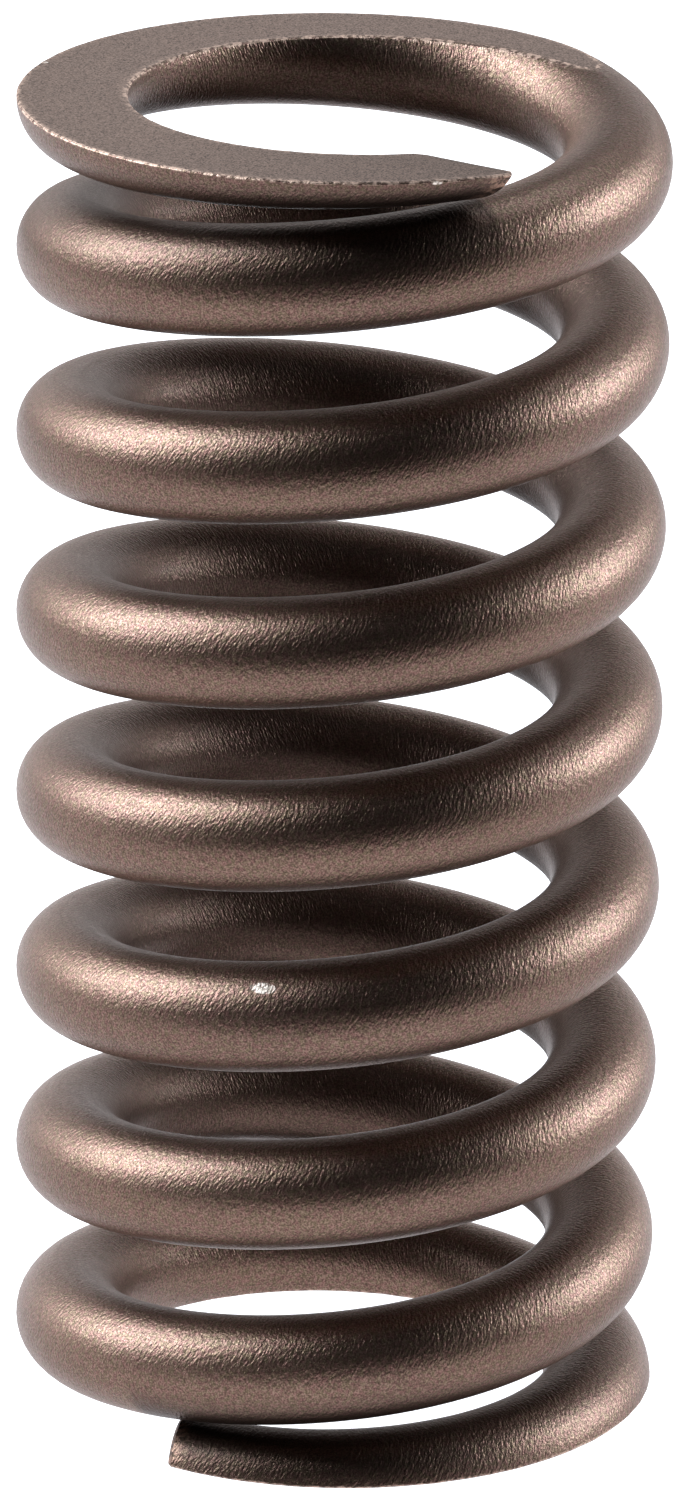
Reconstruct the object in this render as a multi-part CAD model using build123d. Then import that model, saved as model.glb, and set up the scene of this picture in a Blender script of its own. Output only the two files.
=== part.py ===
"""Engine valve spring: one round wire coiled right hand, with closed and ground ends.

Frame: +Z is the coil's axis, z = 0 the lower ground face, and the origin lies on the
axis in that face. Angles are counted from +X towards +Y, lengths are in millimetres,
and a place along the wire is a number of turns from its lower tip.
"""
from build123d import *
import math
import os

# The wire and the coil
wire_diameter = 4.5
inside_diameter = 17.6
free_length = 55.4
total_turns = 8.17
lower_tip_angle = -125.6

# The open coils stand a little wider apart at the top than at the bottom, as a share
pitch_growth = 0.025

# Each end: the turns over which its coils open, the wire left under the grinding at
# the tip, the gap from the tip to the coil beside it, how far the wire springs out at
# the tip and over how many turns, and the slant of the cut across the wire
lower_closing_turns = 1.06
lower_tip_thickness = 1.4
lower_tip_gap = 0.2
lower_tip_spread = -0.33
lower_spread_turns = 0.15
lower_cut_slant = 22.0
upper_closing_turns = 1.23
upper_tip_thickness = 1.38
upper_tip_gap = 0.2
upper_tip_spread = 0.4
upper_spread_turns = 0.2
upper_cut_slant = 31.0

# The round edge of each cut is broken by this much
cut_edge_break = 0.4

wire_radius = wire_diameter / 2
coil_radius = (inside_diameter + wire_diameter) / 2
turn_length = 2 * math.pi * coil_radius


def opening(turns, closing_turns):
    """How far the pitch has opened: 0 at the tip, 1 past the closing turns."""
    share = min(max(turns / closing_turns, 0.0), 1.0)
    return share**2 * (3 - 2 * share)


def opening_sum(turns, closing_turns):
    """That opening added up from the tip, in turns."""
    share = min(max(turns / closing_turns, 0.0), 1.0)
    return closing_turns * (share**3 - share**4 / 2) + max(turns - closing_turns, 0.0)


def closing_terms(closing_turns, tip_gap):
    """The first turn climbs by one wire and the tip gap, so the pitch at the tip is
    the first figure, less the second times the open pitch."""
    first_turn = opening_sum(1, closing_turns)
    return (wire_diameter + tip_gap) / (1 - first_turn), first_turn / (1 - first_turn)


# The wire's centre climbs by this much from tip to tip, and that sets the open pitch
rise = free_length + wire_diameter - lower_tip_thickness - upper_tip_thickness
lower_first, lower_share = closing_terms(lower_closing_turns, lower_tip_gap)
upper_first, upper_share = closing_terms(upper_closing_turns, upper_tip_gap)
lower_half = lower_closing_turns / 2
upper_half = upper_closing_turns / 2
open_pitch = (rise - lower_half * lower_first - upper_half * upper_first) / (
    total_turns - lower_half * (1 + lower_share) - upper_half * (1 + upper_share)
)

# How far the pitch closes at each tip
lower_closing = open_pitch * (1 + lower_share) - lower_first
upper_closing = open_pitch * (1 + upper_share) - upper_first


def wire_pitch(turn):
    """Climb per turn at a place along the wire."""
    lower_closed = 1 - opening(turn, lower_closing_turns)
    upper_closed = 1 - opening(total_turns - turn, upper_closing_turns)
    growth = open_pitch * pitch_growth * (turn / total_turns - 0.5)
    return open_pitch + growth - lower_closing * lower_closed - upper_closing * upper_closed


def wire_height(turn):
    """Height of the wire's centre: the pitch added up from the lower tip."""
    from_top = total_turns - turn
    lower_closed = turn - opening_sum(turn, lower_closing_turns)
    upper_closed = upper_half - (from_top - opening_sum(from_top, upper_closing_turns))
    growth = open_pitch * pitch_growth * (turn**2 / total_turns - turn) / 2
    climb = open_pitch * turn + growth
    climb -= lower_closing * lower_closed + upper_closing * upper_closed
    return lower_tip_thickness - wire_radius + climb


def spread(turns, tip_spread, spread_turns):
    """Growth of the coil's radius near a tip, and its slope per turn from the tip."""
    share = max(1 - turns / spread_turns, 0.0)
    return tip_spread * share**2, -2 * tip_spread * share / spread_turns


def outward(turn):
    """Level direction from the axis to the wire."""
    angle = math.radians(lower_tip_angle + 360 * turn)
    return Vector(math.cos(angle), math.sin(angle), 0)


def wire_place(turn):
    """Centre of the wire."""
    lower, _ = spread(turn, lower_tip_spread, lower_spread_turns)
    upper, _ = spread(total_turns - turn, upper_tip_spread, upper_spread_turns)
    level = outward(turn) * (coil_radius + lower + upper)
    return level + Vector(0, 0, wire_height(turn))


def wire_heading(turn):
    """Direction in which the wire runs."""
    _, lower = spread(turn, lower_tip_spread, lower_spread_turns)
    _, upper = spread(total_turns - turn, upper_tip_spread, upper_spread_turns)
    out = outward(turn)
    around = Vector(-out.Y, out.X, 0) * turn_length
    return (around + out * (lower - upper) + Vector(0, 0, wire_pitch(turn))).normalized()


def wire_span(start, end):
    """Round wire between two places, along a smooth curve through its centre."""
    steps = 6
    places = [start + (end - start) * step / steps for step in range(steps + 1)]
    half_step = math.pi * (end - start) / steps
    arc_to_chord = half_step / math.sin(half_step)
    centre = Spline(
        *[wire_place(turn) for turn in places],
        tangents=[wire_heading(start), wire_heading(end)],
        tangent_scalars=[arc_to_chord, arc_to_chord],
    )
    section = Plane(wire_place(start), x_dir=outward(start), z_dir=wire_heading(start))
    return sweep(section * Circle(wire_radius), path=centre, is_frenet=True)


def tip_length(slant):
    """Length of wire, to each side of a cut's centre, that a slanted cut reaches."""
    return wire_radius * (1 + math.tan(math.radians(slant)))


def tip_form(turn, slant, inward):
    """The form that a cut gives a tip of the wire, as a solid to intersect it with.
    Its small end is the cut: upright, and slanted so that its outer side lies further
    along the wire. It widens as fast as it deepens, and that breaks the cut's edge.
    Inward is 1 at the lower tip, where the wire runs on from the cut, and -1 at the
    upper tip."""
    across = outward(turn).rotate(Axis.Z, slant)
    facing = Vector(-across.Y, across.X, 0) * inward
    along = wire_heading(turn) * inward
    depth = 2 * tip_length(slant)
    cut_centre = wire_place(turn)
    inner_centre = cut_centre + along * (depth / along.dot(facing))
    half_width = wire_radius / math.cos(math.radians(slant)) - cut_edge_break
    half_height = wire_radius - cut_edge_break
    cut = Plane(cut_centre, x_dir=across, z_dir=facing)
    inner = Plane(inner_centre, x_dir=across, z_dir=facing)
    small_end = cut * Ellipse(half_width, half_height)
    large_end = inner * Ellipse(half_width + depth, half_height + depth)
    return loft([small_end, large_end], ruled=True)


def coiled_wire():
    """The wire in spans of about a quarter turn, between two short tips that are cut."""
    lower_turns = tip_length(lower_cut_slant) / turn_length
    upper_turns = tip_length(upper_cut_slant) / turn_length
    start = lower_turns
    end = total_turns - upper_turns
    count = round(4 * (end - start))
    places = [start + (end - start) * step / count for step in range(count + 1)]
    spans = [wire_span(*pair) for pair in zip(places, places[1:])]
    lower_tip = wire_span(-lower_turns, start)
    upper_tip = wire_span(end, total_turns + upper_turns)
    lower_tip = lower_tip & tip_form(0, lower_cut_slant, 1)
    upper_tip = upper_tip & tip_form(total_turns, upper_cut_slant, -1)
    return [lower_tip, *spans, upper_tip]


def ground(span):
    """A span of wire, ground level with the two end faces."""
    width = 4 * coil_radius
    return span & Pos(0, 0, free_length / 2) * Box(width, width, free_length)


def valve_spring():
    """The whole spring as one solid."""
    return Part() + [ground(span) for span in coiled_wire()]


if __name__ == "__main__":
    os.makedirs("parts", exist_ok=True)
    export_step(valve_spring(), "parts/valve_spring.step")
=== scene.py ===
import math

import bpy
from mathutils import Matrix, Vector


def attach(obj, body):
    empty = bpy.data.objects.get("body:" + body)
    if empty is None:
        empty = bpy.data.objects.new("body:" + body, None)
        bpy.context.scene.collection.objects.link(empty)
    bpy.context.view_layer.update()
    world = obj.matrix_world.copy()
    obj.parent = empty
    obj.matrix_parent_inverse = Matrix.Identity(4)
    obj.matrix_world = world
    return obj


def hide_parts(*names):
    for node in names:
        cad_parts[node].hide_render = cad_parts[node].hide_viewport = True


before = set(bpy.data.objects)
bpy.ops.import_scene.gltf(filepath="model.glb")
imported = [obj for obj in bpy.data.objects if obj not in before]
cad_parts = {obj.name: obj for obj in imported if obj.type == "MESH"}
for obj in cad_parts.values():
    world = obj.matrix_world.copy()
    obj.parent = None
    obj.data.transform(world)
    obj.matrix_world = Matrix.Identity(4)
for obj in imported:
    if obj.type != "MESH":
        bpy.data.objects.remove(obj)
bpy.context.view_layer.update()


# The valve spring: one length of round spring steel wire, coiled right hand with a pitch
# that closes towards both ends, cut off at each tip, ground level there and shot peened.
# It is held by nothing and stands on its lower ground face
mm = 0.001
wire_diameter = 4.5 * mm
inside_diameter = 17.6 * mm
free_length = 55.4 * mm
total_turns = 8.17
lower_tip_angle = -125.6

# The open coils stand a little wider apart at the top than at the bottom, as a share
pitch_growth = 0.025

# Each end: the turns over which its pitch opens, the wire left under the grinding at the
# tip, the gap to the coil beside the tip, how far the tip springs out and over how many
# turns, the slant of the cut in degrees, and how far the cut's edge is broken
lower_end = {
    "closing": 1.06,
    "thickness": 1.4 * mm,
    "gap": 0.2 * mm,
    "spread": -0.33 * mm,
    "spread turns": 0.15,
    "slant": 22,
    "edge break": 0.15 * mm,
}
upper_end = {
    "closing": 1.23,
    "thickness": 1.38 * mm,
    "gap": 0.2 * mm,
    "spread": 0.4 * mm,
    "spread turns": 0.2,
    "slant": 30,
    "edge break": 0.25 * mm,
}

# The edges of the ground flats are worn off by about this much
ground_edge_wear = 0.085 * mm

wire_radius = wire_diameter / 2
coil_radius = (inside_diameter + wire_diameter) / 2


def pitch_at_tip(end):
    """Two terms: the tip's pitch is the first, less the second times the open pitch."""
    share = min(1 / end["closing"], 1)
    first_turn = end["closing"] * (share**3 - share**4 / 2) + max(1 - end["closing"], 0)
    return (wire_diameter + end["gap"]) / (1 - first_turn), first_turn / (1 - first_turn)


# The climb and the turns that the two ends leave set the open pitch
open_climb = free_length + wire_diameter
open_turns = total_turns
for end in (lower_end, upper_end):
    first, second = pitch_at_tip(end)
    open_climb -= end["thickness"] + first * end["closing"] / 2
    open_turns -= (1 + second) * end["closing"] / 2
open_pitch = open_climb / open_turns
for end in (lower_end, upper_end):
    first, second = pitch_at_tip(end)
    end["closed by"] = open_pitch * (1 + second) - first

spring_sizes = {
    "Wire Radius": wire_radius,
    "Coil Radius": coil_radius,
    "Free Length": free_length,
    "Turns": total_turns,
    "Lower Tip Angle": math.radians(lower_tip_angle),
    "Open Pitch": open_pitch,
    "Pitch Growth": pitch_growth,
    "Ground Edge Wear": ground_edge_wear,
}
for side, end in (("Lower", lower_end), ("Upper", upper_end)):
    spring_sizes[side + " Closing Turns"] = end["closing"]
    spring_sizes[side + " Closed By"] = end["closed by"]
    spring_sizes[side + " Thickness"] = end["thickness"]
    spring_sizes[side + " Spread"] = end["spread"]
    spring_sizes[side + " Spread Turns"] = end["spread turns"]
    spring_sizes[side + " Cut Slant"] = math.radians(end["slant"])
    spring_sizes[side + " Edge Break"] = end["edge break"]


class Field:
    """A number that each point works out for itself, by Math nodes."""

    def __init__(self, tree, socket):
        self.tree = tree
        self.socket = socket

    def by(self, operation, *others):
        """The result of a Math node that takes this number first."""
        node = self.tree.nodes.new("ShaderNodeMath")
        node.operation = operation
        for slot, value in enumerate((self, *others)):
            if isinstance(value, Field):
                self.tree.links.new(value.socket, node.inputs[slot])
            else:
                node.inputs[slot].default_value = value
        return Field(self.tree, node.outputs[0])

    def __add__(self, other):
        return self.by("ADD", other)

    def __sub__(self, other):
        return self.by("SUBTRACT", other)

    def __mul__(self, other):
        return self.by("MULTIPLY", other)

    def __truediv__(self, other):
        return self.by("DIVIDE", other)

    def __rsub__(self, other):
        return self * -1 + other

    __radd__ = __add__
    __rmul__ = __mul__

    def within(self, low, high):
        """This number, held between two limits."""
        return self.by("MAXIMUM", low).by("MINIMUM", high)

    def root(self):
        return self.by("SQRT")

    def cos(self):
        return self.by("COSINE")

    def sin(self):
        return self.by("SINE")


def choose(condition, yes, no):
    """The value of yes where the condition is 1, and of no where it is 0."""
    return no + condition * (yes - no)


def vector(node_tree, *values):
    """Up to three numbers joined into a vector."""
    node = node_tree.nodes.new("ShaderNodeCombineXYZ")
    for axis, value in enumerate(values):
        if isinstance(value, Field):
            node_tree.links.new(value.socket, node.inputs[axis])
        else:
            node.inputs[axis].default_value = value
    return node.outputs[0]


# A place along the wire is a number of turns from its lower tip
tree = bpy.data.node_groups.new("valve_spring", "GeometryNodeTree")
for label in spring_sizes:
    tree.interface.new_socket(label, in_out="INPUT", socket_type="NodeSocketFloat")
tree.interface.new_socket("Surface", in_out="INPUT", socket_type="NodeSocketMaterial")
tree.interface.new_socket("Spring", in_out="OUTPUT", socket_type="NodeSocketGeometry")
sizes = tree.nodes.new("NodeGroupInput")
size = {label: Field(tree, sizes.outputs[label]) for label in spring_sizes}
turn_length = size["Coil Radius"] * (2 * math.pi)


def opening_sum(turns, closing):
    """How far the pitch has opened, added up from the tip, in turns."""
    share = (turns / closing).within(0, 1)
    cube = share * share * share
    return closing * (cube - cube * share * 0.5) + (turns - closing).by("MAXIMUM", 0)


def opening(turns, closing):
    """How far the pitch has opened: 0 at the tip, 1 past the closing turns."""
    share = (turns / closing).within(0, 1)
    return share * share * (3 - share * 2)


def wire_height(turn):
    """Height of the wire's centre."""
    from_top = size["Turns"] - turn
    lower = turn - opening_sum(turn, size["Lower Closing Turns"])
    upper = size["Upper Closing Turns"] * 0.5 - from_top
    upper = upper + opening_sum(from_top, size["Upper Closing Turns"])
    bend = turn * turn / size["Turns"] - turn
    growth = size["Open Pitch"] * size["Pitch Growth"] * bend * 0.5
    climb = size["Open Pitch"] * turn + growth
    climb = climb - size["Lower Closed By"] * lower - size["Upper Closed By"] * upper
    return size["Lower Thickness"] - size["Wire Radius"] + climb


def wire_pitch(turn):
    """Climb of the wire per turn."""
    lower = 1 - opening(turn, size["Lower Closing Turns"])
    upper = 1 - opening(size["Turns"] - turn, size["Upper Closing Turns"])
    growth = size["Open Pitch"] * size["Pitch Growth"] * (turn / size["Turns"] - 0.5)
    climb = size["Open Pitch"] + growth
    return climb - size["Lower Closed By"] * lower - size["Upper Closed By"] * upper


def spread(turns, side):
    """How far the coil's radius grows towards a tip."""
    share = (1 - turns / size[side + " Spread Turns"]).by("MAXIMUM", 0)
    return size[side + " Spread"] * share * share


def wire_distance(turn):
    """Distance of the wire's centre from the coil's axis."""
    return size["Coil Radius"] + spread(turn, "Lower") + spread(size["Turns"] - turn, "Upper")


# The grid that is wrapped into the wire has a row of points for each place along it and
# a column for each place around it. Around, it passes the outer side, the top, the inner
# side and the bottom, and the steps at the top and bottom hold the ground flats. The
# first and last rows close the two cuts
side_steps = 14
flat_steps = 10
half_steps = side_steps + flat_steps
columns = 2 * half_steps + 1
cut_rows = 6
rows_per_turn = 168
rows = round(rows_per_turn * total_turns) + 2 * cut_rows

grid = tree.nodes.new("GeometryNodeMeshGrid")
grid.inputs["Size X"].default_value = 1
grid.inputs["Size Y"].default_value = 1
grid.inputs["Vertices X"].default_value = rows
grid.inputs["Vertices Y"].default_value = columns
index = Field(tree, tree.nodes.new("GeometryNodeInputIndex").outputs[0])
row = (index / columns).by("FLOOR")
column = (index - row * columns).by("MODULO", 2 * half_steps)
second_half = (column / half_steps).by("FLOOR")
step = column - second_half * half_steps

# Rows past the cuts shrink towards the middle of the wire's section
in_lower_half = (row - rows / 2).by("LESS_THAN", 0)
edge_break = choose(in_lower_half, size["Lower Edge Break"], size["Upper Edge Break"])
edge_turns = edge_break / turn_length
lower_cut = (cut_rows - row).by("GREATER_THAN", 0)
upper_cut = (row - (rows - 1 - cut_rows)).by("GREATER_THAN", 0)
in_cut = lower_cut + upper_cut
along = ((row - cut_rows) / (rows - 1 - 2 * cut_rows)).within(0, 1)
plain_turn = edge_turns + along * (size["Turns"] - edge_turns * 2)
row_turn = choose(lower_cut, 0, choose(upper_cut, size["Turns"], plain_turn))
cut_depth = (cut_rows - row.by("MINIMUM", rows - 1 - row)) - 1
shrink = 1 - (cut_depth / (cut_rows - 1)).within(0, 1)
section_radius = size["Wire Radius"] - edge_break * in_cut


# The wear of a ground edge swings from row to row, and takes no more than this share of
# a narrow flat
jitter_per_turn = 90
least_wear = 0.35
wear_swing = 1.3
most_of_flat = 0.4
wear_seeds = {"top": 3.0, "bottom": 8.0}

# Past the grinding, the flat's steps fan out over the round wire by up to this angle
widest_fan = math.radians(37.5)
fan_growth = 1.5


def jitter(turn, seed):
    """A number from 0 to 1 that changes from row to row of the wire."""
    node = tree.nodes.new("ShaderNodeTexNoise")
    node.noise_dimensions = "2D"
    node.inputs["Scale"].default_value = 1
    node.inputs["Detail"].default_value = 3
    tree.links.new(vector(tree, turn * jitter_per_turn, seed), node.inputs["Vector"])
    return Field(tree, node.outputs[0])


def section_point(turn):
    """Place in the wire's section, outward from its centre and up from it, with the
    wire's slope, its height, and 1 at the edges of the flats. The ground planes cut the
    round section level."""
    lean = wire_pitch(turn) / turn_length
    upright = (1 + lean * lean).by("POWER", -0.5)
    height = wire_height(turn)
    reach = section_radius * upright
    top = (size["Free Length"] - height) / reach
    bottom = height / reach
    half_angle = {}
    arc_angle = {}
    wear = {}
    for name, level in (("top", top), ("bottom", bottom)):
        fan = ((level - 1) * fan_growth).within(0, 1)
        fan = fan * (3 - fan * fan) * 0.5 * widest_fan
        is_flat = (1 - level).by("GREATER_THAN", 0)
        flat_angle = level.within(-1, 1).by("ARCCOSINE")
        half_angle[name] = choose(is_flat, flat_angle, fan)
        swing = least_wear + jitter(turn, wear_seeds[name]) * wear_swing
        most = section_radius * flat_angle.sin() * most_of_flat
        wear[name] = (size["Ground Edge Wear"] * swing).by("MINIMUM", most) * is_flat
        arc_angle[name] = half_angle[name] + wear[name] / section_radius
    before = choose(second_half, arc_angle["top"], arc_angle["bottom"])
    after = choose(second_half, arc_angle["bottom"], arc_angle["top"])
    level = choose(second_half, bottom, top)
    worn = choose(second_half, wear["bottom"], wear["top"])
    flat_before = choose(second_half, top, bottom).by("LESS_THAN", 1)
    flat_after = level.by("LESS_THAN", 1)
    edge = step.by("COMPARE", 0, 0.5) * flat_before
    edge = edge + step.by("COMPARE", side_steps + 0.5, 1) * flat_after
    edge = edge + step.by("COMPARE", half_steps - 1, 0.5) * flat_after
    flat_angle = choose(second_half, half_angle["bottom"], half_angle["top"])
    on_side = (step / side_steps).within(0, 1)
    on_top = (step - side_steps) / flat_steps
    quarter = math.pi / 2
    side_angle = before - quarter + (math.pi - before - after) * on_side
    top_angle = quarter - after + after * on_top * 2
    angle = choose(on_top.by("GREATER_THAN", 0), top_angle, side_angle)
    out = section_radius * angle.cos()
    up = section_radius * angle.sin()
    flat_place = ((step - side_steps - 1) / (flat_steps - 2)).within(0, 1)
    flat_out = (section_radius * flat_angle.sin() - worn) * (1 - flat_place * 2)
    on_flat = on_top.by("GREATER_THAN", 0) * (1 - level).by("GREATER_THAN", 0)
    out = choose(on_flat, flat_out, out)
    up = choose(on_flat, section_radius * level, up)
    turned = 1 - second_half * 2
    middle = section_radius * (top.by("MINIMUM", 1) - bottom.by("MINIMUM", 1)) * 0.5
    out = out * turned * shrink
    up = middle + (up * turned - middle) * shrink
    return out, up, lean * upright, upright, height, edge


def slant_shift(out, up, sine, side, cut_turn):
    """Turns by which the slanted cut of a tip moves a point of the section along."""
    slant = size[side + " Cut Slant"]
    middle = wire_distance(cut_turn)
    distance = middle + out
    across = middle * slant.cos()
    across = (across * across + distance * distance - middle * middle).root() - across
    angle = (across * slant.sin()).by("ARCTAN2", middle + across * slant.cos())
    return (angle + up * sine / distance) / (2 * math.pi)


# The cuts' slant fades out along the wire over this length
slant_fade = 5 * mm
out, up, sine, _, _, _ = section_point(row_turn)
from_lower_cut = row_turn * turn_length - edge_break
from_upper_cut = (size["Turns"] - row_turn) * turn_length - edge_break
near_lower = (1 - from_lower_cut / slant_fade).within(0, 1)
near_upper = (1 - from_upper_cut / slant_fade).within(0, 1)
lower_tip_turn = row * 0
shift = slant_shift(out, up, sine, "Lower", lower_tip_turn) * near_lower
shift = shift + slant_shift(out, up, sine, "Upper", size["Turns"]) * near_upper
turn = row_turn + shift
out, up, sine, upright, height, flat_edge = section_point(turn)
angle = size["Lower Tip Angle"] + turn * (2 * math.pi)
distance = wire_distance(turn) + out
aside = up * sine
point = vector(
    tree,
    distance * angle.cos() + aside * angle.sin(),
    distance * angle.sin() - aside * angle.cos(),
    height + up * upright,
)

# The last few rows before a cut count as its edge, up to 1, and the cut's face as -1
cut_edge_rows = 3
cut_edge = ((cut_depth + cut_edge_rows) / cut_edge_rows).within(0, 1)
at_cut = cut_edge - cut_depth.by("GREATER_THAN", 0.5) * 2

# Where the closed coils nearly touch, shade is painted into the steel's colour. The painted
# shade reaches over gaps up to this, and ends this many turns past the tip of the other coil
painted_shade_gap = 3.2 * mm
painted_shade_past_tip = 0.015
painted_shade_end_slope = 150
inner_side = out / size["Wire Radius"] * -1.2


def painted_shade_from(rise, wire_left, facing):
    """How much painted shade a neighbouring coil puts on a point, by the rise to that coil, by
    the turns of wire that are left there, and by how far the point faces it. Points on the
    inner side get more of this painted shade than those on the outer side."""
    near = (1 - (rise - size["Wire Radius"] * 2) / painted_shade_gap).within(0, 1)
    there = ((wire_left + painted_shade_past_tip) * painted_shade_end_slope).within(0, 1)
    near = near * choose((0.4 + inner_side).within(0, 1), 1, near)
    return near * there * (facing / size["Wire Radius"] * 1.5 - 0.15).within(0, 1)


# The painted shade from the coil above and from the coil below
next_coil = wire_height((turn + 1).by("MINIMUM", size["Turns"])) - height
last_coil = height - wire_height((turn - 1).by("MAXIMUM", 0))
shade_from_next = painted_shade_from(next_coil, size["Turns"] - 1 - turn, up)
shade_from_last = painted_shade_from(last_coil, turn - 1, up * -1)
shade_between_coils = shade_from_next.by("MAXIMUM", shade_from_last)

# Painted shade on the coils' inner side, but not on the end coils, which stand open to the
# light
end_turns = 0.8
end_turns_fade = 0.5
from_tip = turn.by("MINIMUM", size["Turns"] - turn)
past_ends = ((from_tip - end_turns) / end_turns_fade).within(0, 1)
inner_shade = past_ends * (0.2 + inner_side).within(0, 1)


def join(kind, **links):
    """A node with these inputs linked or set."""
    node = tree.nodes.new(kind)
    for label, value in links.items():
        socket = node.inputs[label.replace("_", " ")]
        if isinstance(value, bpy.types.NodeSocket):
            tree.links.new(value, socket)
        else:
            socket.default_value = value
    return node


# The surface's pattern follows the wire, so each point keeps its place in the wire, and
# the worn edges, the painted shade between the coils, the cuts and the painted shade on
# the coils' inner side are kept with it
kept_mesh = grid.outputs["Mesh"]
for label, value in (
    ("place_in_wire", vector(tree, out, up, turn * turn_length)),
    ("worn_edge", flat_edge.socket),
    ("shade_between_coils", shade_between_coils.socket),
    ("at_cut", at_cut.socket),
    ("inner_shade", inner_shade.socket),
):
    keeper = join("GeometryNodeStoreNamedAttribute", Geometry=kept_mesh, Name=label)
    if value.type == "VECTOR":
        keeper.data_type = "FLOAT_VECTOR"
    tree.links.new(value, keeper.inputs["Value"])
    kept_mesh = keeper.outputs[0]
wrapped = join("GeometryNodeSetPosition", Geometry=kept_mesh, Position=point)
closed = join("GeometryNodeMergeByDistance", Geometry=wrapped.outputs[0], Distance=0.002 * mm)
smooth = join("GeometryNodeSetShadeSmooth", Geometry=closed.outputs[0], Shade_Smooth=True)
sharp_angle = math.radians(24)
crease = Field(tree, tree.nodes.new("GeometryNodeInputMeshEdgeAngle").outputs["Unsigned Angle"])
sharp = join(
    "GeometryNodeSetShadeSmooth",
    Geometry=smooth.outputs[0],
    Selection=crease.by("GREATER_THAN", sharp_angle).socket,
    Shade_Smooth=False,
)
sharp.domain = "EDGE"
real = join("GeometryNodeRealizeInstances", Geometry=sharp.outputs[0])
surface = sizes.outputs["Surface"]
dressed = join("GeometryNodeSetMaterial", Geometry=real.outputs[0], Material=surface)
finished = tree.nodes.new("NodeGroupOutput")
tree.links.new(dressed.outputs[0], finished.inputs["Spring"])

# The wire's surface: steel browned by tempering, with the fine dimples of shot peening
# all over and faint lines from drawing along it. The ground ends are greyer and finer
# in grain, and their edges are rubbed brighter
steel = bpy.data.materials.new("spring_wire")
steel.use_nodes = True
skin = steel.node_tree
shader = skin.nodes["Principled BSDF"]
object_place = skin.nodes.new("ShaderNodeTexCoord").outputs["Object"]


def kept(label, output):
    """A value that the mesh keeps at its points."""
    node = skin.nodes.new("ShaderNodeAttribute")
    node.attribute_name = label
    return node.outputs[output]


def split(socket):
    """The three numbers of a vector."""
    node = skin.nodes.new("ShaderNodeSeparateXYZ")
    skin.links.new(socket, node.inputs[0])
    return [Field(skin, output) for output in node.outputs]


def grain(place, feature, detail):
    """Noise from 0 to 1 with features of this size."""
    node = skin.nodes.new("ShaderNodeTexNoise")
    node.inputs["Scale"].default_value = 1 / feature
    node.inputs["Detail"].default_value = detail
    skin.links.new(place, node.inputs["Vector"])
    return Field(skin, node.outputs[0])


def blend(amount, first, second):
    """Between two colours."""
    node = skin.nodes.new("ShaderNodeMix")
    node.data_type = "RGBA"
    skin.links.new(amount.socket, node.inputs["Factor"])
    for colour, label in ((first, "A"), (second, "B")):
        socket = next(s for s in node.inputs if s.name == label and s.type == "RGBA")
        if isinstance(colour, tuple):
            socket.default_value = (*colour, 1)
        else:
            skin.links.new(colour, socket)
    return next(s for s in node.outputs if s.type == "RGBA")


def over_half(noise):
    """How far a noise stands above its middle, from 0 to 1."""
    return ((noise - 0.5) * 6).within(0, 1)


def under_half(noise):
    """How far a noise lies below its middle, from 0 to 1."""
    return ((0.5 - noise) * 6).within(0, 1)


place_there = split(object_place)
height_there = place_there[2]
out_there, up_there, along_there = split(kept("place_in_wire", "Vector"))
edge_there = Field(skin, kept("worn_edge", "Fac"))
# Painted shade between the closed coils and on the coils' inner side
shade_between_coils_there = Field(skin, kept("shade_between_coils", "Fac"))
cut_there = Field(skin, kept("at_cut", "Fac"))
inner_shade_there = Field(skin, kept("inner_shade", "Fac"))

# Peening leaves dimples that are longer around the wire than along it, and lie aslant
dimple_size = 0.11 * mm
dimple_stretch = 0.45
dimple_slant = 0.45
aslant = along_there - up_there * dimple_slant
around = (out_there * dimple_stretch, up_there * dimple_stretch)
dimples = grain(vector(skin, aslant, *around), dimple_size, 1.0)

# Specks, slight tints, drawing lines that run along the wire, mottling and wide patches
speckle_size = 0.075 * mm
tinge_size = 0.18 * mm
line_width = 0.16 * mm
line_shortening = 0.02
mottle_size = 0.9 * mm
patch_size = 5 * mm
speckle = grain(object_place, speckle_size, 2)
tinge = grain(object_place, tinge_size, 1)
drawn_place = vector(skin, out_there, up_there, along_there * line_shortening)
drawn = grain(drawn_place, line_width, 1)
mottle = grain(object_place, mottle_size, 1)
patch = grain(object_place, patch_size, 0)

# The ground ends lie within a hair of the two end planes, and their edges are rubbed
end_depth = 0.015 * mm
end_fade = 0.03 * mm
rub_size = 0.22 * mm
from_end = height_there.by("MINIMUM", free_length - height_there)
ground = 1 - ((from_end - end_depth) / end_fade).within(0, 1)
ragged = ((grain(object_place, rub_size, 2) - 0.44) * 7).within(0, 1)
rubbed = edge_there * edge_there * edge_there * ragged

# Three small bright marks in the brown, each with its centre and its half lengths in
# millimetres: a scratch on the front of a coil lower down, and at the upper flat's outer
# edge a painted glint and a nick with a painted glint on it
scratches_and_glints = []
for centre, reach in (
    ((-2.98, -12.15, 21.33), (0.60, 0.50, 0.20)),
    ((3.64, -12.90, 55.29), (0.24, 0.30, 0.08)),
    ((-12.24, 4.45, 55.40), (0.13, 0.13, 0.13)),
):
    nearness = 1
    for there, middle, half_length in zip(place_there, centre, reach):
        offset = (there - middle * mm) / (half_length * mm)
        nearness = nearness - offset * offset
    scratches_and_glints.append((nearness * 1.6).within(0, 1))
scratched_and_glinting = scratches_and_glints[0].by("MAXIMUM", scratches_and_glints[1]).by("MAXIMUM", scratches_and_glints[2])
scratched_and_glinting = scratched_and_glinting * ((dimples - 0.42) * 7).within(0.2, 1)

# The brown of the heat, in patches and with a red or a green tinge
light_brown = (0.146, 0.086, 0.066)
dark_brown = (0.122, 0.079, 0.057)
deep_brown = (0.109, 0.065, 0.052)
red_brown = (0.150, 0.070, 0.064)
green_brown = (0.112, 0.088, 0.050)
brown = blend(mottle, light_brown, dark_brown)
brown = blend((patch - 0.35).within(0, 1) * 1.5, brown, deep_brown)
brown = blend(over_half(tinge) * 0.6, brown, red_brown)
brown = blend(under_half(tinge) * 0.6, brown, green_brown)

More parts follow.
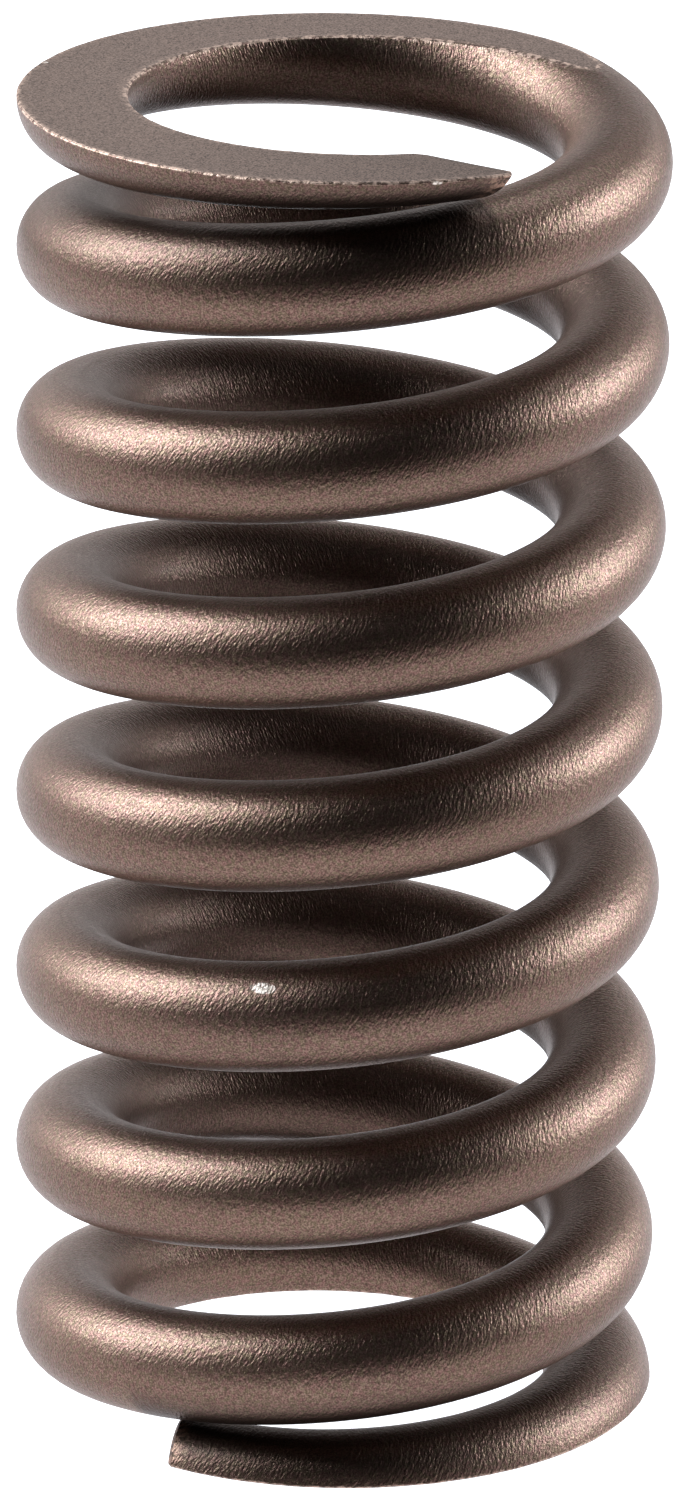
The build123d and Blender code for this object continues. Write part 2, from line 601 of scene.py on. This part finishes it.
# The greyer ground ends, and on all of it dark pits and bright specks
ground_grey = (0.172, 0.118, 0.096)
pit_brown = (0.040, 0.024, 0.019)
speck_bright = (0.33, 0.22, 0.175)
with_ends = blend(ground, brown, ground_grey)
pits = over_half(speckle) * (0.65 + ground * 0.3)
specks = under_half(speckle) * (0.35 + ground * 0.2)
pitted = blend(specks, blend(pits, with_ends, pit_brown), speck_bright)

# Painted shade on the inside of the coil, and between the closed coils
inner_shade_brown = (0.03, 0.018, 0.015)
between_coils_shade_brown = (0.018, 0.012, 0.010)
with_painted_shade = blend(inner_shade_there * 0.5, pitted, inner_shade_brown)
with_painted_shade = blend(shade_between_coils_there * 0.9, with_painted_shade, between_coils_shade_brown)

# The cuts: coppery edges, more so at the upper tip, round a dark face
copper_red = (0.50, 0.30, 0.22)
cut_brown = (0.05, 0.03, 0.025)
half_wire = total_turns * math.pi * coil_radius
copper_share = along_there.by("GREATER_THAN", half_wire) * 0.5 + 0.4
coppery = cut_there.within(0, 1) * (1 - ground) * ragged * copper_share
with_cuts = blend(coppery, with_painted_shade, copper_red)
with_cuts = blend((cut_there * -1).within(0, 1) * 0.6, with_cuts, cut_brown)

# The rubbed edges and the scratch show paler steel, and the glint and the nick a painted
# highlight
rubbed_steel = (0.44, 0.31, 0.25)
pale_steel_and_glint = (0.80, 0.70, 0.63)
worn = blend(rubbed * 0.85, with_cuts, rubbed_steel)
skin.links.new(blend(scratched_and_glinting, worn, pale_steel_and_glint), shader.inputs["Base Color"])
shader.inputs["Metallic"].default_value = 1
shader.inputs["Specular Tint"].default_value = (0.82, 0.80, 0.80, 1)
shader.inputs["Coat Weight"].default_value = 0.05
shader.inputs["Coat Roughness"].default_value = 0.3

plain_roughness = 0.42
dull = plain_roughness + (speckle - 0.5) * 0.2
dull = dull + (drawn - 0.5) * 0.10 + (mottle - 0.5) * 0.06
dull = dull + ground * 0.16 + rubbed * 0.15 + scratched_and_glinting * 0.2
skin.links.new(dull.socket, shader.inputs["Roughness"])

relief_depth = 0.04 * mm
dimpled = dimples * 0.9 * (1 - ground * 0.75)
grainy = speckle * 0.35 * (1 - ground * 0.3)
bump = skin.nodes.new("ShaderNodeBump")
bump.inputs["Strength"].default_value = 1
bump.inputs["Distance"].default_value = relief_depth
skin.links.new((dimpled + grainy).socket, bump.inputs["Height"])
skin.links.new(bump.outputs[0], shader.inputs["Normal"])

# The tree is worked out on an empty carrier, and its result becomes a plain mesh
carrier = bpy.data.objects.new("spring_carrier", bpy.data.meshes.new("spring_carrier"))
bpy.context.scene.collection.objects.link(carrier)
coiling = carrier.modifiers.new("coiling", "NODES")
coiling.node_group = tree
for item in tree.interface.items_tree:
    if item.in_out == "INPUT":
        coiling[item.identifier] = steel if item.name == "Surface" else spring_sizes[item.name]
bpy.context.view_layer.update()
evaluated = carrier.evaluated_get(bpy.context.evaluated_depsgraph_get())
mesh = bpy.data.meshes.new_from_object(evaluated)
carrier.modifiers.remove(coiling)
bpy.data.objects.remove(carrier)
spring = bpy.data.objects.new("valve_spring_wire", mesh)
bpy.context.scene.collection.objects.link(spring)
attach(spring, "root")
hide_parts("valve_spring")


# The floor: a plain pale sheet that glows a little, as a light table does. It reaches
# from just in front of the spring to far behind it
half_floor = 350 * mm
front_edge = -90 * mm
floor_grey = 0.16
floor_glow = 1.56
corners = [
    (-half_floor, front_edge, 0),
    (half_floor, front_edge, 0),
    (half_floor, half_floor, 0),
    (-half_floor, half_floor, 0),
]
floor_mesh = bpy.data.meshes.new("floor")
floor_mesh.from_pydata(corners, [], [(0, 1, 2, 3)])
floor = bpy.data.objects.new("floor", floor_mesh)
bpy.context.scene.collection.objects.link(floor)
paper = bpy.data.materials.new("paper")
paper.use_nodes = True
paper_shader = paper.node_tree.nodes["Principled BSDF"]
paper_shader.inputs["Base Color"].default_value = (floor_grey, floor_grey, floor_grey, 1)
paper_shader.inputs["Roughness"].default_value = 0.9
paper_shader.inputs["Specular IOR Level"].default_value = 0.1
paper_shader.inputs["Emission Color"].default_value = (0.98, 1, 1.05, 1)
paper_shader.inputs["Emission Strength"].default_value = floor_glow
floor_mesh.materials.append(paper)


# The lamps: soft boxes on stands, a tall one to the left and a smaller one lower to the
# right, both a little behind the spring, and a weak one high up behind it
lamp_distance = 700 * mm
lamp_colour = (0.89, 1, 1.07)


def soft_light(label, azimuth, elevation, width, height, radiance):
    """A soft box that faces the spring from this direction, in degrees."""
    lamp = bpy.data.lights.new(label, "AREA")
    lamp.shape = "RECTANGLE"
    lamp.size = width
    lamp.size_y = height
    lamp.energy = radiance * math.pi * width * height
    lamp.color = lamp_colour
    stand = bpy.data.objects.new(label, lamp)
    azimuth = math.radians(azimuth)
    elevation = math.radians(elevation)
    away = Vector((
        math.cos(azimuth) * math.cos(elevation),
        math.sin(azimuth) * math.cos(elevation),
        math.sin(elevation),
    ))
    stand.location = away * lamp_distance + Vector((0, 0, free_length / 2))
    stand.rotation_euler = away.to_track_quat("Z", "Y").to_euler()
    bpy.context.scene.collection.objects.link(stand)


soft_light("left_light", 167, 42, 450 * mm, 620 * mm, 15.6)
soft_light("right_light", 13, 20, 370 * mm, 380 * mm, 14.8)
soft_light("top_light", 50, 62, 330 * mm, 330 * mm, 4)

# The room: a pale wall behind the spring that fades upwards and towards the camera's
# side, and a dark ground. The camera itself sees white all round
wall_brightness = 2.0
ground_brightness = 0.08
world = bpy.data.worlds.new("studio")
world.use_nodes = True
air = world.node_tree
glow = air.nodes["Background"]
facing = air.nodes.new("ShaderNodeSeparateXYZ")
looking = air.nodes.new("ShaderNodeTexCoord").outputs["Generated"]
air.links.new(looking, facing.inputs[0])
behind = Field(air, facing.outputs[1])
above = Field(air, facing.outputs[2])
wall = (behind * 1.4 + 0.4).within(0, 1) * (1.2 - above * 2).within(0, 1) * wall_brightness
brightness = choose(above.by("GREATER_THAN", 0), wall, ground_brightness)
seen = Field(air, air.nodes.new("ShaderNodeLightPath").outputs["Is Camera Ray"])
air.links.new(choose(seen, 1, brightness).socket, glow.inputs["Strength"])
glow.inputs["Color"].default_value = (1, 1, 1, 1)
bpy.context.scene.world = world
bpy.context.scene.view_settings.view_transform = "Standard"

# The camera: on a stand in front, a little above the spring and a touch askew. Its lens
# gives this many of the picture's pixels to a millimetre at the middle of the spring
camera_pitch = math.radians(18.463)
camera_roll = math.radians(0.553)
camera_distance = 462.4 * mm
move_right = -0.042 * mm
move_up = -0.244 * mm
pixels_per_mm = 24.273
image_height = 1500
sensor_height = 36
aim = Vector((0, 0, free_length / 2))
back = Vector((0, -math.cos(camera_pitch), math.sin(camera_pitch)))
level = Vector((1, 0, 0))
upward = Vector((0, math.sin(camera_pitch), math.cos(camera_pitch)))
right = level * math.cos(camera_roll) + upward * math.sin(camera_roll)
top = upward * math.cos(camera_roll) - level * math.sin(camera_roll)
eye = aim + back * camera_distance + right * move_right + top * move_up
lens = bpy.data.cameras.new("camera")
lens.sensor_fit = "VERTICAL"
lens.sensor_height = sensor_height
lens.lens = sensor_height * pixels_per_mm * camera_distance / mm / image_height
lens.clip_start = 10 * mm
camera = bpy.data.objects.new("camera", lens)
camera.matrix_world = Matrix((
    (right.x, top.x, back.x, eye.x),
    (right.y, top.y, back.y, eye.y),
    (right.z, top.z, back.z, eye.z),
    (0, 0, 0, 1),
))
bpy.context.scene.collection.objects.link(camera)
bpy.context.scene.camera = camera
